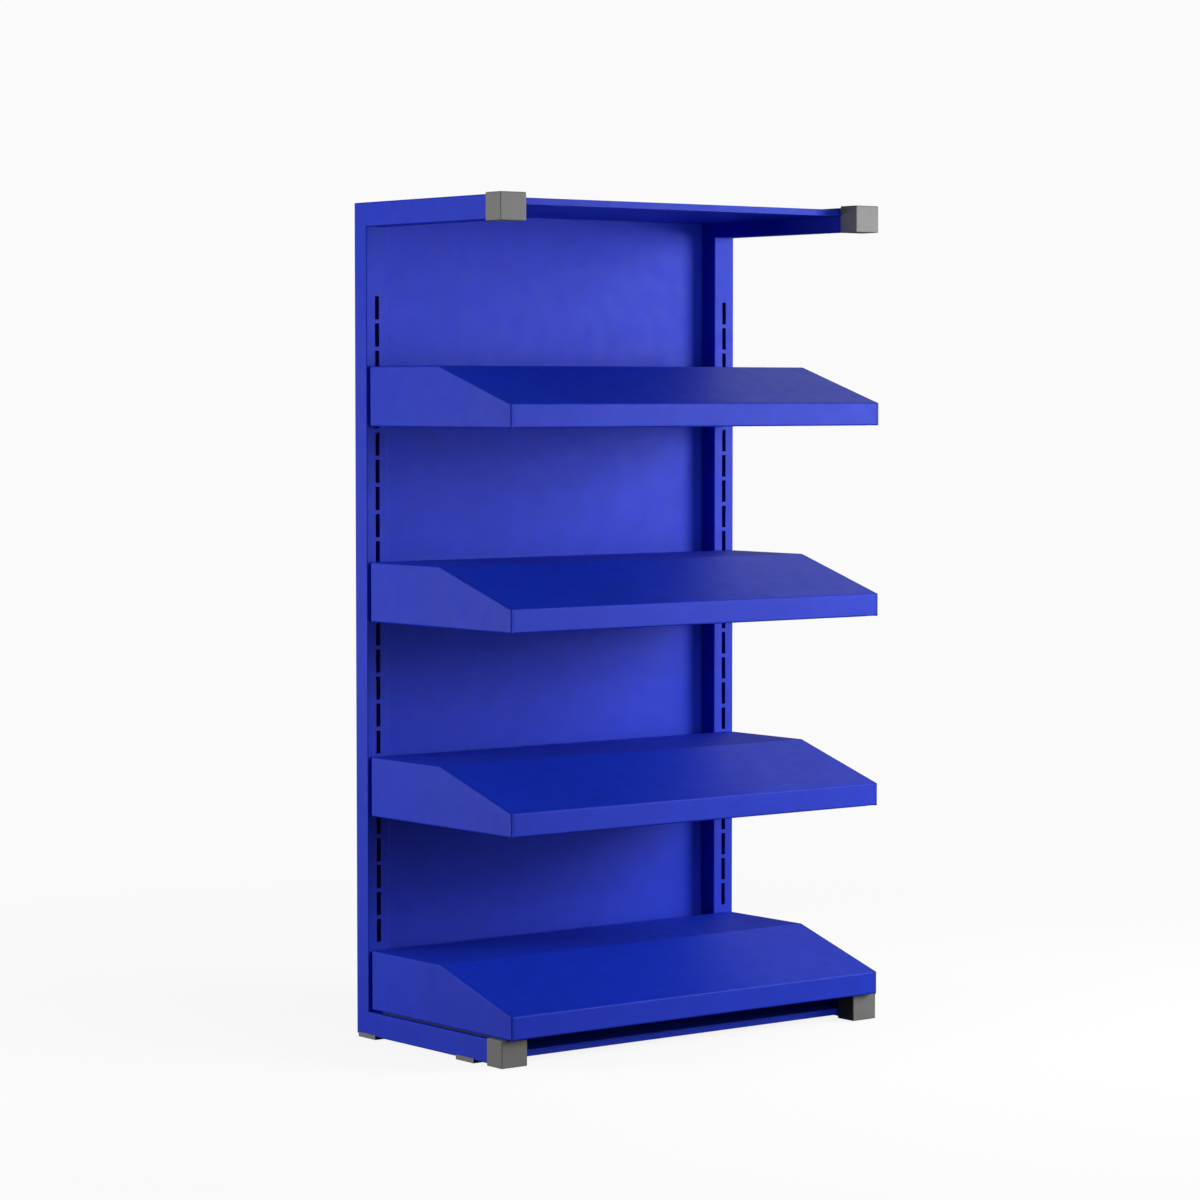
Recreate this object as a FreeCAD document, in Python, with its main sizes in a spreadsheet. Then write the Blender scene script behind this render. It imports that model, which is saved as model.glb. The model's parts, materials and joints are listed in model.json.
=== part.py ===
"""Single-sided bay of cantilever shelving on two C-shaped welded tube frames.

Millimetres. +Z is up, +X runs along the shelves and -Y is the open front.
Every sub-part is drawn with Y = 0 on the front faces of the posts, and its
Placement moves it so that the whole bay stands on the origin, centred.
Shelf pieces are drawn with Z = 0 on the top face of their own shelf.
"""
import FreeCAD, Part
import os
import Sketcher

DIMENSIONS = {
    # welded end frames
    "frame_width": 878.0,
    "frame_base": 5.0,
    "frame_top": 1541.0,
    "post_width": 48.5,
    "post_depth": 38.0,
    "arm_height": 44.0,
    "arm_reach": 416.0,
    "tube_wall": 2.0,
    "tube_radius": 2.5,
    # hook slots in the post fronts
    "slot_width": 9.0,
    "slot_length": 42.4,
    "slot_pitch": 50.0,
    "slot_count": 24,
    "first_slot_top": 1370.0,
    # plastic end caps
    "cap_reach": 420.0,
    "cap_length": 44.0,
    "cap_side_wall": 4.0,
    "cap_top_wall": 3.0,
    "cap_radius": 1.8,
    # plastic foot shoes
    "shoe_length": 54.0,
    "shoe_height": 8.5,
    "shoe_wall": 2.0,
    "shoe_rear_centre": 2.5,
    "shoe_front_centre": -305.5,
    "peg_radius": 4.0,
    "peg_height": 9.0,
    "peg_clearance": 0.2,
    # folded sheet panels
    "panel_gauge": 1.2,
    "panel_depth": 12.0,
    "panel_return": 6.0,
    "panel_gap": 0.5,
    "panel_front": 374.0,
    "panel_inset": 3.8,
    "back_inset": 12.0,
    "back_margin": 8.0,
    "rib_width": 60.0,
    "rib_height": 10.0,
    "rib_length": 800.0,
    "rib_upper_height": 1060.0,
    "rib_lower_height": 540.0,
    # screws
    "screw_radius": 2.0,
    "screw_length": 8.0,
    "screw_hole_radius": 2.1,
    "head_radius": 4.2,
    "head_height": 2.4,
    "head_rim": 0.96,
    "crown_radius": 2.3,
    "back_screw_low": 120.0,
    "back_screw_pitch": 260.0,
    "back_screw_count": 6,
    "tray_screw_rear": -20.0,
    "tray_screw_pitch": 150.0,
    "tray_screw_count": 3,
    "base_screw_rear": -90.0,
    "base_screw_pitch": 240.0,
    "base_screw_count": 2,
    # shelves
    "shelf_width": 865.0,
    "shelf_depth": 435.0,
    "shelf_height": 110.2,
    "flat_depth": 218.0,
    "lip_drop": 68.0,
    "sheet_gauge": 1.5,
    "rear_gap": 1.5,
    "bracket_return": 5.5,
    "bracket_radius": 3.0,
    "knee_radius": 12.0,
    "foot_flange": 25.0,
    "foot_flange_rear": 30.0,
    "foot_flange_front": 412.0,
    "foot_screw_inset": 15.0,
    "rest_width": 20.0,
    "rest_drop": 20.0,
    "rest_rear": 8.0,
    "rest_front": 429.0,
    "rest_knee_radius": 40.0,
    "deck_gap": 0.5,
    "deck_rear_gap": 2.0,
    "deck_rear_flange": 15.0,
    "deck_lip_return": 15.0,
    "deck_notch": 24.0,
    "deck_radius": 3.2,
    "stiffener_centre": 110.0,
    "stiffener_width": 44.0,
    "stiffener_height": 18.0,
    "stiffener_length": 800.0,
    "upper_shelf_top": 1241.7,
    "middle_shelf_top": 882.0,
    "lower_shelf_top": 522.3,
    "base_shelf_top": 162.6,
    # hook plates
    "hook_gauge": 3.0,
    "hook_reach": 40.0,
    "hook_top": 23.0,
    "hook_bottom": 107.0,
    "hook_neck": 26.0,
    "hook_nose": 12.0,
    "hook_nose_inner": 8.4,
    "hook_nose_depth": 5.5,
    "hook_nose_chamfer": 2.2,
    "hook_root": 20.0,
    "hook_clearance": 0.3,
    "spacer_inset": 5.5,
    "spacer_front": 374.0,
}

SIDES = {"left": -1, "right": 1}
# how far a mitre's cut and any other cut run past the surface
OVERCUT = 5.0
MARGIN = 1.0

# number of whole slots above the slot that takes each shelf's upper hook
SHELF_SLOTS = {"upper": 3, "middle": 10, "lower": 17}

POST_FACE = "(dims.shelf_depth - dims.post_depth - dims.panel_depth) / 2"
POST_CENTRE = "(dims.frame_width - dims.post_width) / 2"
INNER_FACE = "(dims.frame_width / 2 - dims.post_width)"
SLOPE_TAN = "(dims.lip_drop / (dims.shelf_depth - dims.flat_depth))"
SLOPE_COS = f"cos(atan({SLOPE_TAN}))"
HALF_SLOPE_TAN = f"tan(atan({SLOPE_TAN}) / 2)"

document = FreeCAD.newDocument("shelving_bay")
sheet = document.addObject("Spreadsheet::Sheet", "dims")
for row, (alias, size) in enumerate(DIMENSIONS.items(), start=1):
    sheet.set(f"A{row}", alias)
    sheet.set(f"B{row}", str(size))
    sheet.setAlias(f"B{row}", alias)
document.recompute()
nodes = []


def value_of(expression):
    """The number that an expression on the sheet gives."""
    result = sheet.evalExpression(str(expression))
    return float(getattr(result, "Value", result))


# ---------------------------------------------------------------- helpers

def new_body(label, height="0"):
    """An empty body whose local Y = 0 lies on the posts' front faces."""
    body = document.addObject("PartDesign::Body", label)
    body.Label = label
    body.AllowCompound = True
    body.setExpression("Placement.Base.y", POST_FACE)
    body.setExpression("Placement.Base.z", height)
    nodes.append(body)
    return body


def new_sketch(body, plane, offset="0"):
    """A sketch on an origin plane; XZ looks along -Y and YZ along +X."""
    sketch = body.newObject("Sketcher::SketchObject", body.Name + "_sketch")
    origin = [item for item in body.Origin.OriginFeatures if item.Role == plane + "_Plane"]
    sketch.AttachmentSupport = [(origin[0], "")]
    sketch.MapMode = "FlatFace"
    sketch.setExpression("AttachmentOffset.Base.z", str(offset))
    return sketch


def place_point(sketch, geometry, position, across, up):
    """Tie one sketch point to the origin with two expressions."""
    for kind, expression in (("DistanceX", across), ("DistanceY", up)):
        size = value_of(expression)
        index = sketch.addConstraint(Sketcher.Constraint(kind, -1, 1, geometry, position, size))
        sketch.setExpression(f"Constraints[{index}]", str(expression))


def outline(sketch, points):
    """A closed polygon with every corner placed by expressions."""
    first = sketch.GeometryCount
    corners = [FreeCAD.Vector(value_of(across), value_of(up), 0) for across, up in points]
    count = len(corners)
    for index in range(count):
        line = Part.LineSegment(corners[index], corners[(index + 1) % count])
        sketch.addGeometry(line, False)
    for index in range(count):
        following = first + (index + 1) % count
        sketch.addConstraint(Sketcher.Constraint("Coincident", first + index, 2, following, 1))
    for index, (across, up) in enumerate(points):
        place_point(sketch, first + index, 1, across, up)


def rectangle(sketch, left, right, low, high):
    outline(sketch, [(left, low), (right, low), (right, high), (left, high)])


def ring(sketch, left, right, low, high, inset):
    rectangle(sketch, left, right, low, high)
    rectangle(sketch, f"{left} + {inset}", f"{right} - {inset}", f"{low} + {inset}", f"{high} - {inset}")


def circle(sketch, across, up, radius):
    centre = FreeCAD.Vector(value_of(across), value_of(up), 0)
    index = sketch.addGeometry(Part.Circle(centre, FreeCAD.Vector(0, 0, 1), value_of(radius)), False)
    place_point(sketch, index, 3, across, up)
    size = sketch.addConstraint(Sketcher.Constraint("Radius", index, value_of(radius)))
    sketch.setExpression(f"Constraints[{size}]", radius)


def pad(body, sketch, length, backwards=False):
    """Add material along the sketch's normal, or against it if backwards."""
    feature = body.newObject("PartDesign::Pad", body.Name + "_pad")
    feature.Profile = sketch
    feature.setExpression("Length", str(length))
    feature.Reversed = backwards
    sketch.Visibility = False
    document.recompute()
    return feature


def pocket(body, sketch, length, along_normal=False):
    """Cut against the sketch's normal, or along it, and make sure that it cuts."""
    before = body.Tip.Shape.Volume
    feature = body.newObject("PartDesign::Pocket", body.Name + "_pocket")
    feature.Profile = sketch
    feature.setExpression("Length", str(length))
    feature.Reversed = along_normal
    document.recompute()
    if not feature.Shape.Volume < before:
        raise RuntimeError(f"{body.Label}: a pocket removes nothing")
    return feature


def repeat(body, features, axis, pitch, count, backwards=False):
    """A row of copies of one feature along an origin axis."""
    row = body.newObject("PartDesign::LinearPattern", body.Name + "_row")
    row.Originals = features
    line = [item for item in body.Origin.OriginFeatures if item.Role == axis + "_Axis"]
    row.Direction = (line[0], [""])
    row.Reversed = backwards
    row.setExpression("Length", f"{pitch} * ({count} - 1)")
    row.setExpression("Occurrences", count)
    body.Tip = row
    document.recompute()
    return row


def straight_edges(shape, axis, **fixed):
    """Names of the straight edges along an axis that pass through the fixed coordinates."""
    found = []
    for index, edge in enumerate(shape.Edges, start=1):
        if len(edge.Vertexes) != 2:
            continue
        start, end = (vertex.Point for vertex in edge.Vertexes)
        run = end - start
        along = abs(getattr(run, axis))
        if along < run.Length - 1e-6:
            continue
        middle = (start + end) / 2
        if all(abs(getattr(middle, name) - place) < 0.01 for name, place in fixed.items()):
            found.append(f"Edge{index}")
    return found


def flat_edges(shape, axis, place):
    """Names of the edges that lie in the plane axis = place."""
    found = []
    for index, edge in enumerate(shape.Edges, start=1):
        box = edge.BoundBox
        low = getattr(box, axis.upper() + "Min")
        high = getattr(box, axis.upper() + "Max")
        if abs(low - place) < 0.01 and abs(high - place) < 0.01:
            found.append(f"Edge{index}")
    return found


def fillet(body, radius, edges):
    """Round the named edges of the body's present tip."""
    if not edges:
        raise RuntimeError(f"{body.Label}: no edge found to round")
    base = body.Tip
    feature = body.newObject("PartDesign::Fillet", body.Name + "_fillet")
    feature.Base = (base, edges)
    feature.setExpression("Radius", radius)
    document.recompute()


def screw_holes(body, plane, offset, places, depth, along_normal=False):
    """Round holes for the screws, all in one sketch."""
    sketch = new_sketch(body, plane, offset)
    for across, up in places:
        circle(sketch, across, up, "dims.screw_hole_radius")
    pocket(body, sketch, depth, along_normal)


# ------------------------------------------------------- welded tube frames

def post(name, side):
    """Upright box tube with a mitre at both ends and a row of hook slots."""
    body = new_body(f"post_{name}")
    centre = f"{side} * {POST_CENTRE}"
    left = f"{centre} - dims.post_width / 2"
    right = f"{centre} + dims.post_width / 2"
    section = new_sketch(body, "XY", "dims.frame_base")
    rectangle(section, left, right, "0", "dims.post_depth")
    pad(body, section, "dims.frame_top - dims.frame_base")
    fillet(body, "dims.tube_radius", straight_edges(body.Tip.Shape, "z"))
    bore = new_sketch(body, "XY", "dims.frame_base")
    rectangle(bore, f"{left} + dims.tube_wall", f"{right} - dims.tube_wall",
              "dims.tube_wall", "dims.post_depth - dims.tube_wall")
    pocket(body, bore, "dims.frame_top", along_normal=True)

    rise = f"{OVERCUT} * dims.arm_height / dims.post_depth"
    mitres = new_sketch(body, "YZ", f"{left} - {MARGIN}")
    outline(mitres, [
        (f"-{OVERCUT}", f"dims.frame_top - dims.arm_height - {rise}"),
        (f"dims.post_depth + {OVERCUT}", f"dims.frame_top + {rise}"),
        (f"-{OVERCUT}", f"dims.frame_top + {rise}"),
    ])
    outline(mitres, [
        (f"-{OVERCUT}", f"dims.frame_base + dims.arm_height + {rise}"),
        (f"dims.post_depth + {OVERCUT}", f"dims.frame_base - {rise}"),
        (f"-{OVERCUT}", f"dims.frame_base - {rise}"),
    ])
    pocket(body, mitres, f"dims.post_width + 2 * {MARGIN}", along_normal=True)

    slot = new_sketch(body, "XZ")
    rectangle(slot, f"{centre} - dims.slot_width / 2", f"{centre} + dims.slot_width / 2",
              "dims.first_slot_top - dims.slot_length", "dims.first_slot_top")
    cut = pocket(body, slot, f"dims.tube_wall + {MARGIN}")
    repeat(body, [cut], "Z", "dims.slot_pitch", "dims.slot_count", backwards=True)

    hole = new_sketch(body, "XZ", "-dims.post_depth")
    circle(hole, centre, "dims.back_screw_low", "dims.screw_hole_radius")
    cut = pocket(body, hole, f"dims.tube_wall + {MARGIN}", along_normal=True)
    repeat(body, [cut], "Z", "dims.back_screw_pitch", "dims.back_screw_count")


def arm(name, side, label, low, high, up):
    """Level box tube that meets the post in a mitre; up is 1 for the top arm, -1 for the base leg."""
    body = new_body(f"{label}_{name}")
    centre = f"{side} * {POST_CENTRE}"
    left = f"{centre} - dims.post_width / 2"
    right = f"{centre} + dims.post_width / 2"
    section = new_sketch(body, "XZ", "-dims.post_depth")
    rectangle(section, left, right, low, high)
    pad(body, section, "dims.arm_reach + dims.post_depth")
    fillet(body, "dims.tube_radius", straight_edges(body.Tip.Shape, "y"))
    bore = new_sketch(body, "XZ", "-dims.post_depth")
    rectangle(bore, f"{left} + dims.tube_wall", f"{right} - dims.tube_wall",
              f"{low} + dims.tube_wall", f"{high} - dims.tube_wall")
    pocket(body, bore, "dims.arm_reach + dims.post_depth", along_normal=True)

    outer = high if up > 0 else low
    inner = low if up > 0 else high
    rise = f"{up} * {OVERCUT} * dims.arm_height / dims.post_depth"
    mitre = new_sketch(body, "YZ", f"{left} - {MARGIN}")
    outline(mitre, [
        (f"-{OVERCUT}", f"{inner} - {rise}"),
        (f"dims.post_depth + {OVERCUT}", f"{outer} + {rise}"),
        (f"dims.post_depth + {OVERCUT}", f"{inner} - 2 * {rise}"),
    ])
    pocket(body, mitre, f"dims.post_width + 2 * {MARGIN}", along_normal=True)
    return body


def tray_screw_places(height):
    """Places of a tray's side screws as (Y, Z) pairs."""
    count = int(DIMENSIONS["tray_screw_count"])
    return [(f"dims.tray_screw_rear - {index} * dims.tray_screw_pitch", height) for index in range(count)]


def side_screw_holes(body, side, height):
    """Holes in the inner side wall of an arm or a leg."""
    screw_holes(body, "YZ", f"{side} * {INNER_FACE}", tray_screw_places(height),
                f"dims.tube_wall + {MARGIN}", along_normal=side > 0)


def base_screw_places(side):
    """Places of the screws that hold a base bracket down, as (X, Y) pairs."""
    count = int(DIMENSIONS["base_screw_count"])
    across = f"{side} * (dims.shelf_width / 2 - dims.foot_screw_inset)"
    return [(across, f"dims.base_screw_rear - {index} * dims.base_screw_pitch") for index in range(count)]


TOP_TRAY_MIDDLE = "dims.frame_top - dims.panel_inset - dims.panel_depth / 2"
BOTTOM_TRAY_MIDDLE = "dims.frame_base + dims.panel_inset + dims.panel_depth / 2"
LEG_TOP = "(dims.frame_base + dims.arm_height)"
ARM_UNDERSIDE = "(dims.frame_top - dims.arm_height)"


def top_arm(name, side):
    body = arm(name, side, "top_arm", ARM_UNDERSIDE, "dims.frame_top", 1)
    side_screw_holes(body, side, TOP_TRAY_MIDDLE)


def base_leg(name, side):
    """Base leg with holes for its tray screws, its bracket screws and the shoe pegs."""
    body = arm(name, side, "base_leg", "dims.frame_base", LEG_TOP, -1)
    side_screw_holes(body, side, BOTTOM_TRAY_MIDDLE)
    screw_holes(body, "XY", LEG_TOP, base_screw_places(side), f"dims.tube_wall + {MARGIN}")
    pegs = new_sketch(body, "XY", "dims.frame_base")
    for place in ("dims.shoe_rear_centre", "dims.shoe_front_centre"):
        circle(pegs, f"{side} * {POST_CENTRE}", place, "dims.peg_radius + dims.peg_clearance")
    pocket(body, pegs, f"dims.tube_wall + {MARGIN}", along_normal=True)


def end_cap(name, side, label, low):
    """Plastic cup that sleeves over the open end of a tube."""
    body = new_body(f"{label}_{name}")
    centre = f"{side} * {POST_CENTRE}"
    left = f"{centre} - dims.post_width / 2"
    right = f"{centre} + dims.post_width / 2"
    high = f"{low} + dims.arm_height"
    mouth = "dims.cap_reach - dims.cap_length"
    block = new_sketch(body, "XZ", mouth)
    rectangle(block, f"{left} - dims.cap_side_wall", f"{right} + dims.cap_side_wall",
              f"{low} - dims.cap_top_wall", f"{high} + dims.cap_top_wall")
    pad(body, block, "dims.cap_length")
    shape = body.Tip.Shape
    front = flat_edges(shape, "y", -value_of("dims.cap_reach"))
    fillet(body, "dims.cap_radius", straight_edges(shape, "y") + front)
    socket = new_sketch(body, "XZ", mouth)
    rectangle(socket, left, right, low, high)
    pocket(body, socket, "dims.arm_reach - dims.cap_reach + dims.cap_length", along_normal=True)


def foot_shoe(name, side, end, place):
    """Plastic shoe that clips round the underside of a leg, with a push-in peg."""
    body = new_body(f"foot_shoe_{end}_{name}")
    centre = f"{side} * {POST_CENTRE}"
    half = "dims.post_width / 2"
    channel = new_sketch(body, "XZ", f"-{place} - dims.shoe_length / 2")
    outline(channel, [
        (f"{centre} - {half} - dims.shoe_wall", "0"),
        (f"{centre} + {half} + dims.shoe_wall", "0"),
        (f"{centre} + {half} + dims.shoe_wall", "dims.shoe_height"),
        (f"{centre} + {half}", "dims.shoe_height"),
        (f"{centre} + {half}", "dims.frame_base"),
        (f"{centre} - {half}", "dims.frame_base"),
        (f"{centre} - {half}", "dims.shoe_height"),
        (f"{centre} - {half} - dims.shoe_wall", "dims.shoe_height"),
    ])
    pad(body, channel, "dims.shoe_length")
    peg = new_sketch(body, "XY", "dims.frame_base")
    circle(peg, centre, place, "dims.peg_radius")
    pad(body, peg, "dims.peg_height")


# ------------------------------------------------------------ sheet panels

def tray(body, plane, start, outward, bounds):
    """Folded sheet with walls all round and narrow returns; outward is the way its walls point."""
    backwards = outward < 0
    face = new_sketch(body, plane, start)
    rectangle(face, *bounds)
    pad(body, face, "dims.panel_gauge", backwards)
    walls = new_sketch(body, plane, start)
    ring(walls, *bounds, "dims.panel_gauge")
    pad(body, walls, "dims.panel_depth", backwards)
    returns = new_sketch(body, plane, f"{start} + {outward} * (dims.panel_depth - dims.panel_gauge)")
    ring(returns, *bounds, "dims.panel_return")
    pad(body, returns, "dims.panel_gauge", backwards)


def back_panel():
    """Tray behind the posts, smooth side to the shelves."""
    body = new_body("back_panel")
    half = "(dims.frame_width / 2 - dims.back_inset)"
    bounds = (f"-{half}", half, "dims.frame_base + dims.back_margin", "dims.frame_top - dims.back_margin")
    tray(body, "XZ", "-dims.post_depth", -1, bounds)
    hole = new_sketch(body, "XZ", "-dims.post_depth")
    for side in SIDES.values():
        circle(hole, f"{side} * {POST_CENTRE}", "dims.back_screw_low", "dims.screw_hole_radius")
    cut = pocket(body, hole, f"dims.panel_gauge + {MARGIN}")
    repeat(body, [cut], "Z", "dims.back_screw_pitch", "dims.back_screw_count")


def back_panel_rib(name, height):
    """Hat-section rib welded across the rear of the back panel."""
    body = new_body(f"back_panel_rib_{name}", height)
    start = "(dims.post_depth + dims.panel_gauge)"
    crown = f"({start} + dims.rib_height)"
    gauge = "dims.panel_gauge"
    flat = "dims.rib_width / 2"
    web = "dims.rib_width / 4"
    section = new_sketch(body, "YZ", "-dims.rib_length / 2")
    outline(section, [
        (start, f"-{flat}"),
        (f"{start} + {gauge}", f"-{flat}"),
        (f"{start} + {gauge}", f"-{web}"),
        (crown, f"-{web}"),
        (crown, web),
        (f"{start} + {gauge}", web),
        (f"{start} + {gauge}", flat),
        (start, flat),
        (start, f"{web} - {gauge}"),
        (f"{crown} - {gauge}", f"{web} - {gauge}"),
        (f"{crown} - {gauge}", f"{gauge} - {web}"),
        (start, f"{gauge} - {web}"),
    ])
    pad(body, section, "dims.rib_length")


def flat_panel(label, sheet_height, outward, middle):
    """Tray between the two frames, with screw holes in its side walls."""
    body = new_body(label)
    half = f"({INNER_FACE} - dims.panel_gap)"
    bounds = (f"-{half}", half, "-dims.panel_front", "dims.post_depth - dims.panel_gap")
    tray(body, "XY", sheet_height, outward, bounds)
    for side in SIDES.values():
        screw_holes(body, "YZ", f"{side} * {half}", tray_screw_places(middle),
                    f"dims.panel_gauge + {MARGIN}", along_normal=side < 0)


# ------------------------------------------------------------------ screws

def sketch_axis(sketch, start, end):
    """A construction line in the sketch, for turning; returns its axis name."""
    points = [FreeCAD.Vector(value_of(across), value_of(up), 0) for across, up in (start, end)]
    index = sketch.addGeometry(Part.LineSegment(*points), True)
    place_point(sketch, index, 1, *start)
    place_point(sketch, index, 2, *end)
    return "Axis0"


def screw(body, plane, offset, place, spin_axis, inward):
    """One pan-head screw turned about its own axis; inward is the shank's way along that axis."""
    across, up = place
    profile = new_sketch(body, plane, offset)
    tip = f"{inward} * dims.screw_length"
    rim = f"-{inward} * dims.head_rim"
    crown = f"-{inward} * dims.head_height"
    if spin_axis == "H_Axis":
        steps = [("0", "0"), (tip, "0"), (tip, "dims.screw_radius"), ("0", "dims.screw_radius"),
                 ("0", "dims.head_radius"), (rim, "dims.head_radius"),
                 (crown, "dims.crown_radius"), (crown, "0")]
        points = [(f"{across} + {along}", f"{up} + {out}") for along, out in steps]
    else:
        steps = [("0", "0"), ("0", tip), ("dims.screw_radius", tip), ("dims.screw_radius", "0"),
                 ("dims.head_radius", "0"), ("dims.head_radius", rim),
                 ("dims.crown_radius", crown), ("0", crown)]
        points = [(f"{across} + {out}", f"{up} + {along}") for out, along in steps]
    outline(profile, points)
    axis_line = sketch_axis(profile, points[0], points[-1])
    turned = body.newObject("PartDesign::Revolution", body.Name + "_turned")
    turned.Profile = profile
    turned.ReferenceAxis = (profile, [axis_line])
    turned.Angle = 360
    document.recompute()
    return turned


def back_panel_screws():
    body = new_body("back_panel_screws")
    head_seat = "dims.post_depth + dims.panel_gauge"
    turned = []
    for side in SIDES.values():
        place = (head_seat, "dims.back_screw_low")
        turned.append(screw(body, "YZ", f"{side} * {POST_CENTRE}", place, "H_Axis", -1))
    repeat(body, turned, "Z", "dims.back_screw_pitch", "dims.back_screw_count")


def tray_screws(label, middle):
    """Screws through the side walls of the top or the bottom tray."""
    body = new_body(label)
    turned = []
    for side in SIDES.values():
        seat = f"{side} * ({INNER_FACE} - dims.panel_gap - dims.panel_gauge)"
        turned.append(screw(body, "XZ", "-dims.tray_screw_rear", (seat, middle), "H_Axis", side))
    repeat(body, turned, "Y", "dims.tray_screw_pitch", "dims.tray_screw_count", backwards=True)


def base_bracket_screws():
    body = new_body("base_bracket_screws")
    seat = "dims.base_shelf_top - dims.shelf_height + dims.sheet_gauge"
    turned = []
    for side in SIDES.values():
        across, along = base_screw_places(side)[0]
        turned.append(screw(body, "XZ", f"-({along})", (across, seat), "V_Axis", -1))
    repeat(body, turned, "Y", "dims.base_screw_pitch", "dims.base_screw_count", backwards=True)


# ----------------------------------------------------------------- shelves

def slope_height(depth, offset):
    """Height of the sloping top at a depth in front of the posts, lowered square to it by an offset."""
    return f"(-({depth} - dims.flat_depth) * {SLOPE_TAN} - ({offset}) / {SLOPE_COS})"


def top_line(rear, front, offset):
    """Rear, knee and front points of the shelf's top line, lowered by an offset."""
    return [
        (f"-({rear})", f"-({offset})"),
        (f"-dims.flat_depth + ({offset}) * {HALF_SLOPE_TAN}", f"-({offset})"),
        (f"-({front})", slope_height(front, offset)),
    ]


def bracket(label, side, height, screwed=False):
    """Pressed side bracket: a web with its edges turned in and a foot flange along the bottom."""
    body = new_body(label, height)
    inward = side < 0
    depth = "dims.bracket_return"
    gauge = "dims.sheet_gauge"
    face = f"{side} * dims.shelf_width / 2"
    web = new_sketch(body, "YZ", face)
    outline(web, top_line("dims.rear_gap", "dims.shelf_depth", "0")
            + [("-dims.shelf_depth", "-dims.shelf_height"), ("-dims.rear_gap", "-dims.shelf_height")])
    pad(body, web, depth, backwards=not inward)
    knee = straight_edges(body.Tip.Shape, "x", y=-value_of("dims.flat_depth"), z=0.0)
    fillet(body, "dims.knee_radius", knee)
    fillet(body, "dims.bracket_radius", flat_edges(body.Tip.Shape, "x", value_of(face)))

    hollow = new_sketch(body, "YZ", f"{face} - {side} * {depth}")
    outline(hollow, top_line(f"dims.rear_gap + {gauge}", f"dims.shelf_depth - {gauge}", gauge)
            + [(f"-dims.shelf_depth + {gauge}", f"-dims.shelf_height + {gauge}"),
               (f"-dims.rear_gap - {gauge}", f"-dims.shelf_height + {gauge}")])
    pocket(body, hollow, f"{depth} - {gauge}", along_normal=side > 0)

    flange = new_sketch(body, "YZ", f"{face} - {side} * {depth}")
    rectangle(flange, "-dims.foot_flange_front", "-dims.foot_flange_rear",
              "-dims.shelf_height", f"-dims.shelf_height + {gauge}")
    pad(body, flange, f"dims.foot_flange - {depth}", backwards=not inward)
    if screwed:
        seat = f"-dims.shelf_height + {gauge}"
        screw_holes(body, "XY", seat, base_screw_places(side), f"{gauge} + {MARGIN}")


def deck_rest(label, side, height):
    """Angle welded inside a bracket, with the ledge that carries the deck."""
    body = new_body(label, height)
    inward = side < 0
    gauge = "dims.sheet_gauge"
    face = f"{side} * (dims.shelf_width / 2 - {gauge})"
    for top, bottom, width in ((gauge, f"2 * {gauge}", "dims.rest_width"),
                               (f"2 * {gauge}", "dims.rest_drop", gauge)):
        band = new_sketch(body, "YZ", face)
        upper = top_line("dims.rest_rear", "dims.rest_front", top)
        lower = top_line("dims.rest_rear", "dims.rest_front", bottom)
        outline(band, upper + lower[::-1])
        pad(body, band, width, backwards=not inward)
        if top == gauge:
            across, up = upper[1]
            knee = straight_edges(body.Tip.Shape, "x", y=value_of(across), z=value_of(up))
            fillet(body, "dims.rest_knee_radius", knee)


def hook_plate(label, side, height, slots_above):
    """Channel welded inside a bracket, with two hooked blades that drop into the post slots."""
    body = new_body(label, height)
    gauge = "dims.hook_gauge"
    outer = f"{side} * (dims.shelf_width / 2 - dims.sheet_gauge)"
    blade = f"{side} * ({POST_CENTRE} - {gauge} / 2)"
    back = "(dims.rear_gap + dims.sheet_gauge)"
    channel = new_sketch(body, "XY", "-dims.hook_bottom")
    outline(channel, [
        (outer, f"-{back}"),
        (outer, "-dims.hook_reach"),
        (f"{outer} - {side} * {gauge}", "-dims.hook_reach"),
        (f"{outer} - {side} * {gauge}", f"-{back} - {gauge}"),
        (f"{blade} + {side} * {gauge}", f"-{back} - {gauge}"),
        (f"{blade} + {side} * {gauge}", "-dims.hook_reach"),
        (blade, "-dims.hook_reach"),
        (blade, f"-{back}"),
    ])
    pad(body, channel, "dims.hook_bottom - dims.hook_top")

    blades = new_sketch(body, "YZ", blade)
    behind = "(dims.tube_wall + dims.hook_clearance)"
    tip = f"({behind} + dims.hook_nose_depth)"
    for slot in (slots_above, slots_above + 1):
        seat = f"(dims.first_slot_top - dims.slot_length - {slot} * dims.slot_pitch - {height})"
        outline(blades, [
            ("-dims.hook_root", seat),
            (behind, seat),
            (behind, f"{seat} - dims.hook_nose_inner"),
            (f"{behind} + dims.hook_nose_chamfer", f"{seat} - dims.hook_nose"),
            (tip, f"{seat} - dims.hook_nose"),
            (tip, f"{seat} + dims.hook_neck - dims.hook_nose_depth"),
            (behind, f"{seat} + dims.hook_neck"),
            ("-dims.hook_root", f"{seat} + dims.hook_neck"),
        ])
    pad(body, blades, gauge, backwards=side < 0)


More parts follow.
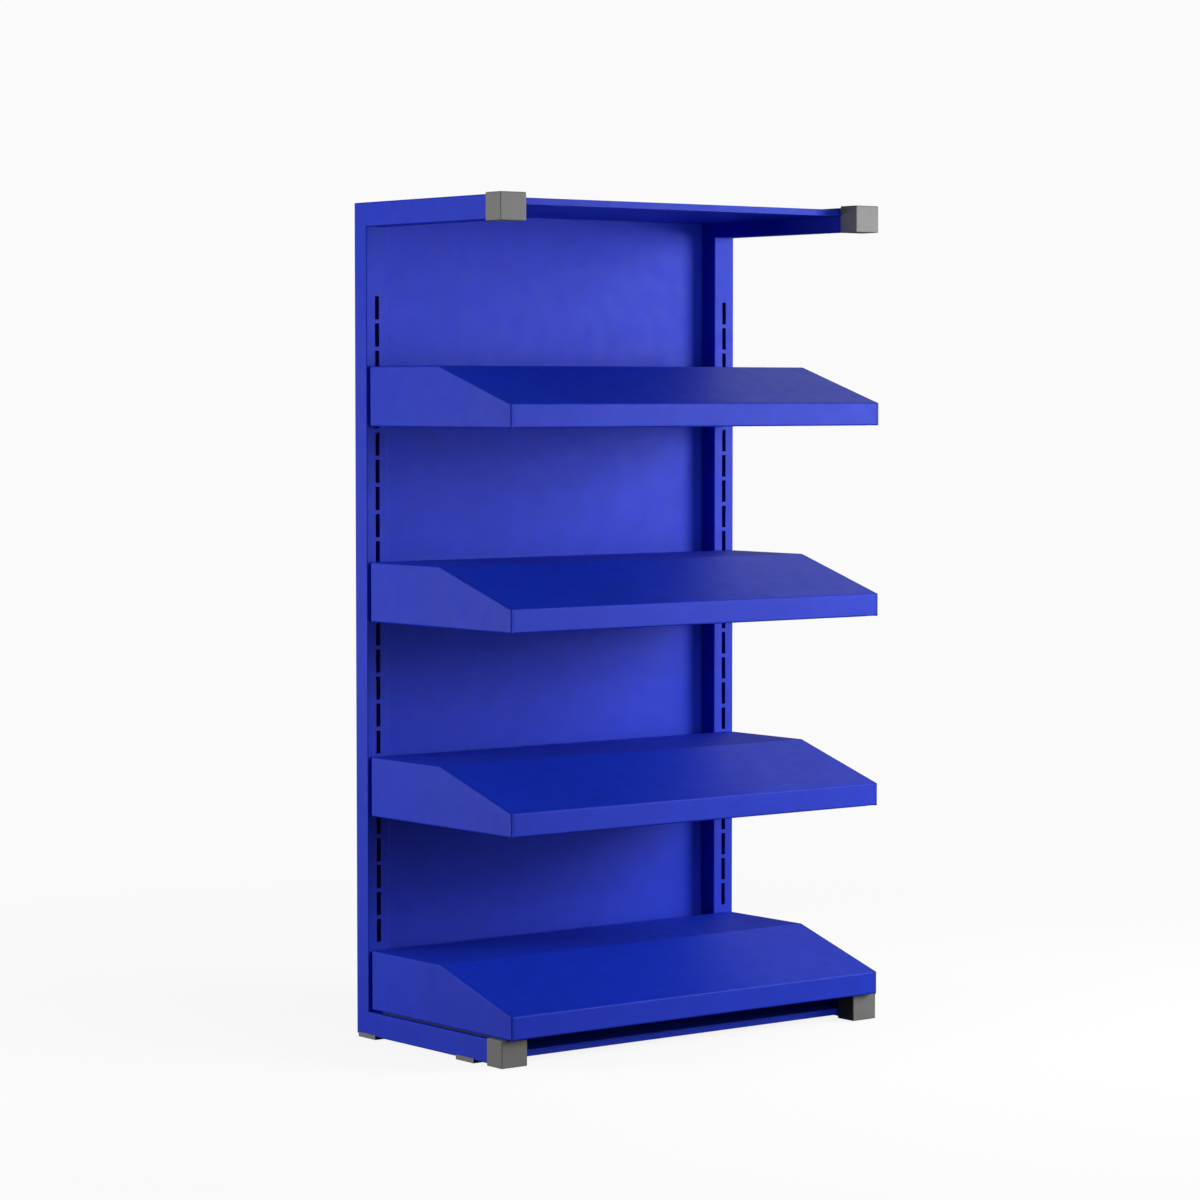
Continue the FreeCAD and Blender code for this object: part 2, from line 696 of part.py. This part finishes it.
def deck(label, height):
    """Folded shelf deck: flat, slope, front lip with a return, and a rear flange."""
    body = new_body(label, height)
    gauge = "dims.sheet_gauge"
    width = "(dims.shelf_width - 2 * dims.bracket_return - 2 * dims.deck_gap)"
    outside = top_line("dims.deck_rear_gap", "dims.shelf_depth", "0")
    inside = top_line(f"dims.deck_rear_gap + {gauge}", f"dims.shelf_depth - {gauge}", gauge)
    lip_end = "-dims.shelf_depth + dims.deck_lip_return"
    profile = new_sketch(body, "YZ", f"-{width} / 2")
    outline(profile, [("-dims.deck_rear_gap", "-dims.deck_rear_flange")] + outside + [
        ("-dims.shelf_depth", "-dims.shelf_height"),
        (lip_end, "-dims.shelf_height"),
        (lip_end, f"-dims.shelf_height + {gauge}"),
        (f"-dims.shelf_depth + {gauge}", f"-dims.shelf_height + {gauge}"),
    ] + inside[::-1] + [(f"-dims.deck_rear_gap - {gauge}", "-dims.deck_rear_flange")])
    pad(body, profile, width)

    sharp = [outside[0], outside[2], ("-dims.shelf_depth", "-dims.shelf_height")]
    blunt = [inside[0], inside[2], (f"-dims.shelf_depth + {gauge}", f"-dims.shelf_height + {gauge}")]
    bends = [
        ("dims.deck_radius", sharp),
        (f"dims.deck_radius - {gauge}", blunt),
        ("dims.knee_radius", [outside[1]]),
        (f"dims.knee_radius - {gauge}", [inside[1]]),
    ]
    for radius, corners in bends:
        edges = []
        for across, up in corners:
            edges += straight_edges(body.Tip.Shape, "x", y=value_of(across), z=value_of(up))
        fillet(body, radius, edges)

    notch = new_sketch(body, "YZ", f"-{width} / 2")
    rectangle(notch, f"-dims.shelf_depth + {gauge}", f"{lip_end} + {MARGIN}",
              f"-dims.shelf_height - {MARGIN}", "-dims.shelf_height + dims.deck_radius")
    cut = pocket(body, notch, "dims.deck_notch", along_normal=True)
    repeat(body, [cut], "X", f"({width} - dims.deck_notch)", "2")


def deck_stiffener(label, height):
    """Channel welded under the flat of a deck."""
    body = new_body(label, height)
    gauge = "dims.panel_gauge"
    rear = "(-dims.stiffener_centre + dims.stiffener_width / 2)"
    front = "(-dims.stiffener_centre - dims.stiffener_width / 2)"
    top = "-dims.sheet_gauge"
    bottom = f"({top} - dims.stiffener_height)"
    section = new_sketch(body, "YZ", "-dims.stiffener_length / 2")
    outline(section, [
        (front, top),
        (front, bottom),
        (rear, bottom),
        (rear, top),
        (f"{rear} - {gauge}", top),
        (f"{rear} - {gauge}", f"{bottom} + {gauge}"),
        (f"{front} + {gauge}", f"{bottom} + {gauge}"),
        (f"{front} + {gauge}", top),
    ])
    pad(body, section, "dims.stiffener_length")


def base_spacer(name, side):
    """Plastic strip between a base leg and the foot flange of the base bracket above it."""
    body = new_body(f"base_spacer_{name}")
    insets = ("dims.spacer_inset", "dims.foot_flange")
    edges = [f"{side} * (dims.shelf_width / 2 - {inset})" for inset in insets]
    left, right = edges if side < 0 else edges[::-1]
    strip = new_sketch(body, "XY", LEG_TOP)
    rectangle(strip, left, right, "-dims.spacer_front", "-dims.foot_flange_rear")
    thickness = f"dims.base_shelf_top - dims.shelf_height - {LEG_TOP}"
    pad(body, strip, thickness)
    screw_holes(body, "XY", LEG_TOP, base_screw_places(side), f"{thickness} + {MARGIN}", along_normal=True)


def shelf(name):
    """Every piece of one shelf; the base shelf has no hooks and is screwed down instead."""
    height = f"dims.{name}_shelf_top"
    for hand, side in SIDES.items():
        bracket(f"{name}_bracket_{hand}", side, height, screwed=name == "base")
        deck_rest(f"{name}_deck_rest_{hand}", side, height)
        if name in SHELF_SLOTS:
            hook_plate(f"{name}_hook_plate_{hand}", side, height, SHELF_SLOTS[name])
    deck(f"{name}_deck", height)
    deck_stiffener(f"{name}_deck_stiffener", height)


# ---------------------------------------------------------------- assembly

def build():
    for hand, side in SIDES.items():
        post(hand, side)
        top_arm(hand, side)
        base_leg(hand, side)
        end_cap(hand, side, "top_cap", ARM_UNDERSIDE)
        end_cap(hand, side, "base_cap", "dims.frame_base")
        foot_shoe(hand, side, "rear", "dims.shoe_rear_centre")
        foot_shoe(hand, side, "front", "dims.shoe_front_centre")
        base_spacer(hand, side)
    back_panel()
    back_panel_rib("upper", "dims.rib_upper_height")
    back_panel_rib("lower", "dims.rib_lower_height")
    tray_rise = "(dims.panel_inset + dims.panel_depth)"
    flat_panel("top_panel", f"dims.frame_top - {tray_rise}", 1, TOP_TRAY_MIDDLE)
    flat_panel("bottom_panel", f"dims.frame_base + {tray_rise}", -1, BOTTOM_TRAY_MIDDLE)
    back_panel_screws()
    tray_screws("top_panel_screws", TOP_TRAY_MIDDLE)
    tray_screws("bottom_panel_screws", BOTTOM_TRAY_MIDDLE)
    base_bracket_screws()
    for name in ("upper", "middle", "lower", "base"):
        shelf(name)


def check_and_export():
    """Stop if anything failed, then write one STEP file for each sub-part."""
    document.recompute()
    for item in document.Objects:
        if {"Invalid", "Error"} & set(item.State):
            raise RuntimeError(f"{item.Label} failed: {item.State}")
    for node in nodes:
        if node.Shape.isNull() or not node.Shape.isValid():
            raise RuntimeError(f"{node.Label} has no valid shape")
    os.makedirs("parts", exist_ok=True)
    whole = FreeCAD.BoundBox()
    for node in nodes:
        node.Shape.exportStep(f"parts/{node.Label}.step")
        whole.add(node.Shape.BoundBox)
        print(f"{node.Label}: {len(node.Shape.Solids)} solid(s), {node.Shape.Volume / 1000:.1f} cm3")
    print(f"{len(nodes)} sub-parts")
    print(f"X {whole.XMin:.2f} to {whole.XMax:.2f}")
    print(f"Y {whole.YMin:.2f} to {whole.YMax:.2f}")
    print(f"Z {whole.ZMin:.2f} to {whole.ZMax:.2f}")


build()
check_and_export()
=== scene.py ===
"""Looks of a single-sided bay of cantilever shelving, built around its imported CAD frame.

Metres. +Z is up, +X runs along the shelves and -Y is the open front.
"""

import json
import math

import bmesh
import bpy
from mathutils import Matrix, Vector


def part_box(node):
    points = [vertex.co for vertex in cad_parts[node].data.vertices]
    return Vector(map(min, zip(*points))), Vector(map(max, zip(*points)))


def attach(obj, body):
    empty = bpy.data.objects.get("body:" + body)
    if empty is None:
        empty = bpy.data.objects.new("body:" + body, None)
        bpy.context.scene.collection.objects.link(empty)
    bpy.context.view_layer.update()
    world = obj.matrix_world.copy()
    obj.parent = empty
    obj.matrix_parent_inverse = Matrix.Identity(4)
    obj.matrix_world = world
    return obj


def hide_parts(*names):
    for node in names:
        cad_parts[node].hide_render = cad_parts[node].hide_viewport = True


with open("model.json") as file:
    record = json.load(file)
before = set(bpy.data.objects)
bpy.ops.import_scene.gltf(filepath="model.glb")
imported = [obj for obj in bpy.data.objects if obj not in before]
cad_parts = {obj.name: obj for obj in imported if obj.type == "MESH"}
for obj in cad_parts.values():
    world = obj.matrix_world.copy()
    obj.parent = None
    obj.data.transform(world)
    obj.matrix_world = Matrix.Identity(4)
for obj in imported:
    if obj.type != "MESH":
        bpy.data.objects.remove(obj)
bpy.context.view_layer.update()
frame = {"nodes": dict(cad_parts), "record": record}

MM = 0.001


# ---------------------------------------------------------------- node helpers

def feed(tree, node, links):
    """Links each source to the input of a node that its key names or counts."""
    for socket, source in links.items():
        tree.links.new(source, node.inputs[socket])


def add_node(tree, kind, values=None, links=None, **settings):
    """One node with its settings, socket values and incoming links."""
    node = tree.nodes.new(kind)
    for key, setting in settings.items():
        setattr(node, key, setting)
    for socket, number in (values or {}).items():
        node.inputs[socket].default_value = number
    feed(tree, node, links or {})
    return node


def new_material(name):
    """A node material, its tree, its Principled shader and the coordinates of its object."""
    material = bpy.data.materials.new(name)
    material.use_nodes = True
    tree = material.node_tree
    tree.nodes.clear()
    shader = add_node(tree, "ShaderNodeBsdfPrincipled")
    add_node(tree, "ShaderNodeOutputMaterial", links={"Surface": shader.outputs["BSDF"]})
    place = add_node(tree, "ShaderNodeTexCoord").outputs["Object"]
    return material, tree, shader, place


def noise(tree, place, scale, detail=2.0, roughness=0.5):
    """Smooth noise from 0 to 1; scale is the number of features to a metre."""
    return add_node(tree, "ShaderNodeTexNoise",
                    {"Scale": scale, "Detail": detail, "Roughness": roughness},
                    {"Vector": place}).outputs["Fac"]


def spread(tree, source, low, high, to_low=0.0, to_high=1.0):
    """Maps low..high of a source to to_low..to_high, clamped."""
    return add_node(tree, "ShaderNodeMapRange",
                    {"From Min": low, "From Max": high, "To Min": to_low, "To Max": to_high},
                    {"Value": source}, clamp=True).outputs["Result"]


def blend_colours(tree, amount, first, second):
    """first where amount is 0, second where it is 1; each is a colour or a socket."""
    node = add_node(tree, "ShaderNodeMix", links={"Factor": amount}, data_type="RGBA")
    first_colour, second_colour, result = 6, 7, 2
    for socket, side in ((first_colour, first), (second_colour, second)):
        if isinstance(side, tuple):
            node.inputs[socket].default_value = (*side, 1.0)
        else:
            tree.links.new(side, node.inputs[socket])
    return node.outputs[result]


def rounded_normal(tree, radius, samples=4):
    """The surface normal as if every edge were rounded to a radius."""
    return add_node(tree, "ShaderNodeBevel", {"Radius": radius}, samples=samples).outputs["Normal"]


def edge_mask(tree, rounded, low, high):
    """1 on an edge and 0 on a flat, from how far the rounded normal turns away."""
    flat = add_node(tree, "ShaderNodeNewGeometry").outputs["True Normal"]
    turned = add_node(tree, "ShaderNodeVectorMath", links={0: rounded, 1: flat},
                      operation="DOT_PRODUCT").outputs["Value"]
    return spread(tree, turned, low, high, 1.0, 0.0)


def bump(tree, height, distance, strength, normal):
    """A normal with bumps up to distance deep."""
    return add_node(tree, "ShaderNodeBump", {"Strength": strength, "Distance": distance},
                    {"Height": height, "Normal": normal}).outputs["Normal"]


# ------------------------------------------------------------------- materials

def powder_coat():
    """Cobalt satin powder coat with orange peel, faint cloudiness and edges lightened partly as rubbed
    wear and partly as a painted highlight.
    """
    # The third colour is the lighter blue of the edges: partly rubbed wear, partly painted highlight.
    deep, light, rubbed_and_highlight = (0.0022, 0.0230, 0.468), (0.0032, 0.0268, 0.520), (0.03, 0.06, 0.62)
    material, tree, shader, place = new_material("blue_powder_coat")
    rounded = rounded_normal(tree, radius=0.8 * MM)

    cloud = noise(tree, place, scale=22.0, detail=5.0, roughness=0.62)
    paint = blend_colours(tree, spread(tree, cloud, low=0.35, high=0.65), deep, light)
    patches = noise(tree, place, scale=60.0, detail=3.0)
    # Lightens the edges towards the lighter blue: partly rubbed paint wear, partly a painted edge
    # highlight.
    wear_and_highlight = add_node(tree, "ShaderNodeMath", operation="MULTIPLY",
                    links={0: edge_mask(tree, rounded, low=0.75, high=0.97),
                           1: spread(tree, patches, low=0.42, high=0.68, to_high=0.35)})

    haze = noise(tree, place, scale=34.0, detail=4.0, roughness=0.6)
    peel = noise(tree, place, scale=420.0, detail=1.0)
    feed(tree, shader, {
        "Base Color": blend_colours(tree, wear_and_highlight.outputs["Value"], paint, rubbed_and_highlight),
        "Roughness": spread(tree, haze, low=0.3, high=0.7, to_low=0.54, to_high=0.61),
        "Normal": bump(tree, peel, distance=0.05 * MM, strength=0.35, normal=rounded)})
    shader.inputs["Specular IOR Level"].default_value = 0.2
    return material


def moulded_plastic():
    """Matte grey plastic with a fine spark-eroded grain."""
    dark, light = (0.128, 0.128, 0.125), (0.150, 0.150, 0.147)
    material, tree, shader, place = new_material("grey_moulded_plastic")
    rounded = rounded_normal(tree, radius=0.6 * MM)
    cloud = noise(tree, place, scale=30.0, detail=4.0, roughness=0.6)
    grain = noise(tree, place, scale=1400.0)
    feed(tree, shader, {
        "Base Color": blend_colours(tree, spread(tree, cloud, low=0.35, high=0.65), dark, light),
        "Roughness": spread(tree, cloud, low=0.3, high=0.7, to_low=0.52, to_high=0.64),
        "Normal": bump(tree, grain, distance=0.04 * MM, strength=0.4, normal=rounded)})
    return material


def black_rubber_as_shade():
    """Dull black rubber of the strips between the base brackets and the legs; its black is painted shade
    for the dark gap there.
    """
    dark, light = (0.008, 0.008, 0.009), (0.016, 0.016, 0.017)
    material, tree, shader, place = new_material("black_rubber_as_shade")
    rounded = rounded_normal(tree, radius=0.4 * MM)
    cloud = noise(tree, place, scale=90.0, detail=4.0, roughness=0.6)
    grain = noise(tree, place, scale=1800.0)
    feed(tree, shader, {
        "Base Color": blend_colours(tree, spread(tree, cloud, low=0.3, high=0.7), dark, light),
        "Roughness": spread(tree, cloud, low=0.3, high=0.7, to_low=0.75, to_high=0.9),
        "Normal": bump(tree, grain, distance=0.05 * MM, strength=0.5, normal=rounded)})
    return material


def zinc_plate():
    """Bright zinc on the screws, faintly clouded."""
    cool, warm = (0.52, 0.53, 0.55), (0.66, 0.66, 0.64)
    material, tree, shader, place = new_material("zinc_plate")
    cloud = noise(tree, place, scale=500.0, detail=3.0)
    feed(tree, shader, {
        "Base Color": blend_colours(tree, cloud, cool, warm),
        "Roughness": spread(tree, cloud, low=0.3, high=0.7, to_low=0.28, to_high=0.42)})
    shader.inputs["Metallic"].default_value = 1.0
    return material


def finish_frame(zinc):
    """Gives every CAD node the finish of its material slot, and the spacer strips black rubber as
    painted shade for the gap between the base brackets and the legs.
    """
    finishes = {"blue_paint": powder_coat(), "grey_plastic": moulded_plastic(), "zinc_steel": zinc}
    for part in frame["record"]["subparts"]:
        finish = frame["nodes"][part["node"]].data.materials
        finish.clear()
        finish.append(finishes[part["material_slot"]])
    # The spacer strips are made black as painted shade for the dark gap between the base brackets and
    # the legs.
    shade_rubber = black_rubber_as_shade()
    for node in ("base_spacer_left", "base_spacer_right"):
        frame["nodes"][node].data.materials[0] = shade_rubber


# ---------------------------------------------------------------------- screws

HEAD_RADIUS = 4.2 * MM
HEAD_HEIGHT = 2.4 * MM
RIM_HEIGHT = 0.9 * MM
EDGE_BREAK = 0.15 * MM
SEAT_TO_TIP = 8.0 * MM
SHANK_LENGTH = 7.9 * MM
SHANK_RADIUS = 1.95 * MM
THREAD_DEPTH = 0.28 * MM
THREAD_PITCH = 0.7 * MM


def mesh_object(name, shape):
    """An object in the scene from a bmesh, which it frees."""
    mesh = bpy.data.meshes.new(name)
    shape.to_mesh(mesh)
    shape.free()
    made = bpy.data.objects.new(name, mesh)
    bpy.context.scene.collection.objects.link(made)
    return made


def turned_profile():
    """Radius and height of the screw from its tip, up the thread and over the domed pan head."""
    points = [(0.0, -SHANK_LENGTH), (SHANK_RADIUS - 2 * THREAD_DEPTH, -SHANK_LENGTH)]
    height = -SHANK_LENGTH + THREAD_PITCH / 2
    while height < -THREAD_PITCH:
        points.append((SHANK_RADIUS - THREAD_DEPTH, height))
        points.append((SHANK_RADIUS, height + THREAD_PITCH / 2))
        height += THREAD_PITCH
    points += [(SHANK_RADIUS - THREAD_DEPTH, 0.0), (HEAD_RADIUS - EDGE_BREAK, 0.0),
               (HEAD_RADIUS, EDGE_BREAK), (HEAD_RADIUS, RIM_HEIGHT)]
    dome_steps, bunching, fullness = 12, 0.8, 2.5
    for step in range(1, dome_steps + 1):
        radius = math.cos(math.pi / 2 * step / dome_steps) ** bunching
        rise = (1 - radius ** fullness) ** (1 / fullness)
        points.append((HEAD_RADIUS * radius, RIM_HEIGHT + (HEAD_HEIGHT - RIM_HEIGHT) * rise))
    return points


def turned_solid(name, profile, segments=40):
    """A closed solid of revolution about Z from a profile that starts and ends on the axis."""
    on_axis = 0.001 * MM
    shape = bmesh.new()
    rings = []
    for radius, height in profile:
        if radius < on_axis:
            rings.append([shape.verts.new((0.0, 0.0, height))])
        else:
            rings.append([shape.verts.new((radius * math.cos(2 * math.pi * k / segments),
                                           radius * math.sin(2 * math.pi * k / segments), height))
                          for k in range(segments)])
    for below, above in zip(rings, rings[1:]):
        for k in range(segments):
            after = (k + 1) % segments
            corners = [below[k % len(below)], below[after % len(below)],
                       above[after % len(above)], above[k % len(above)]]
            shape.faces.new(list(dict.fromkeys(corners)))
    bmesh.ops.recalc_face_normals(shape, faces=shape.faces)
    return mesh_object(name, shape)


def cross_cutter(name):
    """A cross that cuts the driver recess into a head, narrower at its foot."""
    wing, thick = 1.75 * MM, 0.42 * MM
    foot, top = 0.75 * MM, HEAD_HEIGHT + 0.5 * MM
    shorter, thinner = 0.5, 0.85
    outline = []
    for quarter in range(4):
        turn = Matrix.Rotation(math.pi / 2 * quarter, 3, "Z")
        outline += [turn @ Vector(corner)
                    for corner in ((wing, -thick, 0), (wing, thick, 0), (thick, thick, 0))]
    shape = bmesh.new()
    lower, upper = [], []
    for corner in outline:
        along_x = abs(corner.x) > abs(corner.y)
        across, up = (shorter, thinner) if along_x else (thinner, shorter)
        lower.append(shape.verts.new((corner.x * across, corner.y * up, foot)))
        upper.append(shape.verts.new((corner.x, corner.y, top)))
    count = len(outline)
    for k in range(count):
        after = (k + 1) % count
        shape.faces.new((lower[k], lower[after], upper[after], upper[k]))
    shape.faces.new(upper)
    shape.faces.new(lower[::-1])
    bmesh.ops.recalc_face_normals(shape, faces=shape.faces)
    return mesh_object(name, shape)


def pan_head_screw():
    """The mesh of one cross-recess pan-head screw along Z, with its seat at the origin."""
    blank = turned_solid("screw_blank", turned_profile())
    cutter = cross_cutter("screw_cutter")
    cut = blank.modifiers.new("recess", "BOOLEAN")
    cut.operation = "DIFFERENCE"
    cut.solver = "EXACT"
    cut.object = cutter
    bpy.context.view_layer.update()
    screw = bpy.data.meshes.new_from_object(blank.evaluated_get(bpy.context.evaluated_depsgraph_get()))
    for spare in (blank, cutter):
        bpy.data.objects.remove(spare)
    return screw


def screw_row(low, high, count):
    """The middles of evenly spaced screws whose heads reach from low to high."""
    first, last = low + HEAD_RADIUS, high - HEAD_RADIUS
    return [first + (last - first) * k / (count - 1) for k in range(count)]


def screw_places(node, axis, count):
    """Where the screws of a node sit: a row of count screws on the left and one on the right."""
    low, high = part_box(node)
    side = high[0]
    seat_x, head_x = side - SEAT_TO_TIP, side - HEAD_RADIUS
    if axis == "X":
        middle = (low[2] + high[2]) / 2
        return [(x, y, middle) for x in (-seat_x, seat_x) for y in screw_row(low[1], high[1], count)]
    if axis == "Y":
        seat = high[1] - HEAD_HEIGHT
        return [(x, seat, z) for x in (-head_x, head_x) for z in screw_row(low[2], high[2], count)]
    seat = high[2] - HEAD_HEIGHT
    return [(x, y, seat) for x in (-head_x, head_x) for y in screw_row(low[1], high[1], count)]


def screw_group(node, screw, zinc, axis, count):
    """Detailed screws in place of a CAD node's; heads face +Y, +Z or, on axis X, the middle."""
    spin_step, quarter_turn, sharp = 37, 90, 35
    shape = bmesh.new()
    for number, place in enumerate(screw_places(node, axis, count)):
        facing = {"X": Vector((-place[0], 0, 0)), "Y": Vector((0, 1, 0)), "Z": Vector((0, 0, 1))}[axis]
        turn = facing.to_track_quat("Z", "Y").to_matrix().to_4x4()
        spin = Matrix.Rotation(math.radians(spin_step * number % quarter_turn), 4, "Z")
        single = screw.copy()
        single.transform(Matrix.Translation(place) @ turn @ spin)
        shape.from_mesh(single)
        bpy.data.meshes.remove(single)
    group = mesh_object(node + "_detailed", shape)
    group.data.materials.append(zinc)
    for polygon in group.data.polygons:
        polygon.use_smooth = True
    group.data.set_sharp_from_angle(angle=math.radians(sharp))
    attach(group, "frame")
    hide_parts(node)


def fit_screws(zinc):
    """Replaces the four groups of plain CAD screws."""
    screw = pan_head_screw()
    for node, axis, count in (("back_panel_screws", "Y", 6), ("top_panel_screws", "X", 3),
                              ("bottom_panel_screws", "X", 3), ("base_bracket_screws", "Z", 2)):
        screw_group(node, screw, zinc, axis, count)


# ----------------------------------------------------------------------- stage

BACKDROP_WHITE = 0.956

# name, azimuth, elevation, power, distance and size; azimuth 0 is the open front and 90 is +X
SOFTBOXES = (
    ("key", 50, 15, 88, 3.2, 1.3),
    ("right_low", 60, 0, 38, 3.4, 1.7),
    ("front", 5, 6, 38, 3.4, 1.7),
    ("left_high", -60, 30, 7, 3.4, 1.7),
    ("back_left", -118, 0, 92, 3.4, 1.7),
    ("back_right", 120, 30, 14, 3.4, 1.7),
    ("left_top", -90, 60, 3, 1.7, 0.8),
)


def pale_floor():
    """A glowing white floor that fades into the backdrop, and takes a faint shadow near the rack."""
    reach, drop = 30.0, -0.2 * MM
    near, far = 0.7, 2.4
    near_glow, near_colour = 0.875, 0.13
    mesh = bpy.data.meshes.new("floor")
    corners = ((-reach, -reach), (reach, -reach), (reach, reach), (-reach, reach))
    mesh.from_pydata([(x, y, drop) for x, y in corners], [], [(0, 1, 2, 3)])
    floor = bpy.data.objects.new("floor", mesh)
    bpy.context.scene.collection.objects.link(floor)

    material, tree, shader, place = new_material("pale_floor")
    away = add_node(tree, "ShaderNodeVectorMath", links={0: place}, operation="LENGTH").outputs["Value"]
    colour = add_node(tree, "ShaderNodeCombineColor")
    grey = spread(tree, away, near, far, near_colour, 0.0)
    feed(tree, colour, {"Red": grey, "Green": grey, "Blue": grey})
    feed(tree, shader, {"Base Color": colour.outputs["Color"],
                        "Emission Strength": spread(tree, away, near, far, near_glow, BACKDROP_WHITE)})
    shader.inputs["Emission Color"].default_value = (1.0, 1.0, 1.0, 1.0)
    shader.inputs["Roughness"].default_value = 1.0
    shader.inputs["Specular IOR Level"].default_value = 0.0
    mesh.materials.append(material)
    floor.visible_diffuse = False
    floor.visible_glossy = False


def studio_world():
    """A white backdrop that only the camera sees, so that the softboxes alone light the rack."""
    world = bpy.data.worlds.new("studio")
    world.use_nodes = True
    tree = world.node_tree
    tree.nodes.clear()
    seen = add_node(tree, "ShaderNodeLightPath").outputs["Is Camera Ray"]
    strength = spread(tree, seen, low=0.0, high=1.0, to_high=BACKDROP_WHITE)
    sky = add_node(tree, "ShaderNodeBackground", {"Color": (1.0, 1.0, 1.0, 1.0)}, {"Strength": strength})
    add_node(tree, "ShaderNodeOutputWorld", links={"Surface": sky.outputs["Background"]})
    bpy.context.scene.world = world


def softbox(name, azimuth, elevation, power, distance, size):
    """A square area light aimed at the middle of the rack."""
    turn, rise = math.radians(azimuth), math.radians(elevation)
    middle = Vector((0.0, 0.0, 0.77))
    back = Vector((math.sin(turn) * math.cos(rise), -math.cos(turn) * math.cos(rise), math.sin(rise)))
    light = bpy.data.lights.new(name, "AREA")
    light.shape = "SQUARE"
    light.size = size
    light.energy = power
    lamp = bpy.data.objects.new(name, light)
    bpy.context.scene.collection.objects.link(lamp)
    lamp.location = middle + back * distance
    lamp.rotation_euler = (-back).to_track_quat("-Z", "Y").to_euler()


def camera():
    """A long lens, low and to the left of the open front."""
    place, target = Vector((-4.3713, -5.5397, 1.1948)), Vector((-0.0126, 0.0425, 0.8045))
    data = bpy.data.cameras.new("camera")
    data.sensor_width = 36.0
    data.lens = 113.334
    data.clip_end = 100.0
    view = bpy.data.objects.new("camera", data)
    bpy.context.scene.collection.objects.link(view)
    view.location = place
    view.rotation_euler = (target - place).to_track_quat("-Z", "Y").to_euler()
    bpy.context.scene.camera = view


zinc_finish = zinc_plate()
finish_frame(zinc_finish)
fit_screws(zinc_finish)
pale_floor()
studio_world()
for row in SOFTBOXES:
    softbox(*row)
camera()
bpy.context.scene.view_settings.view_transform = "Standard"
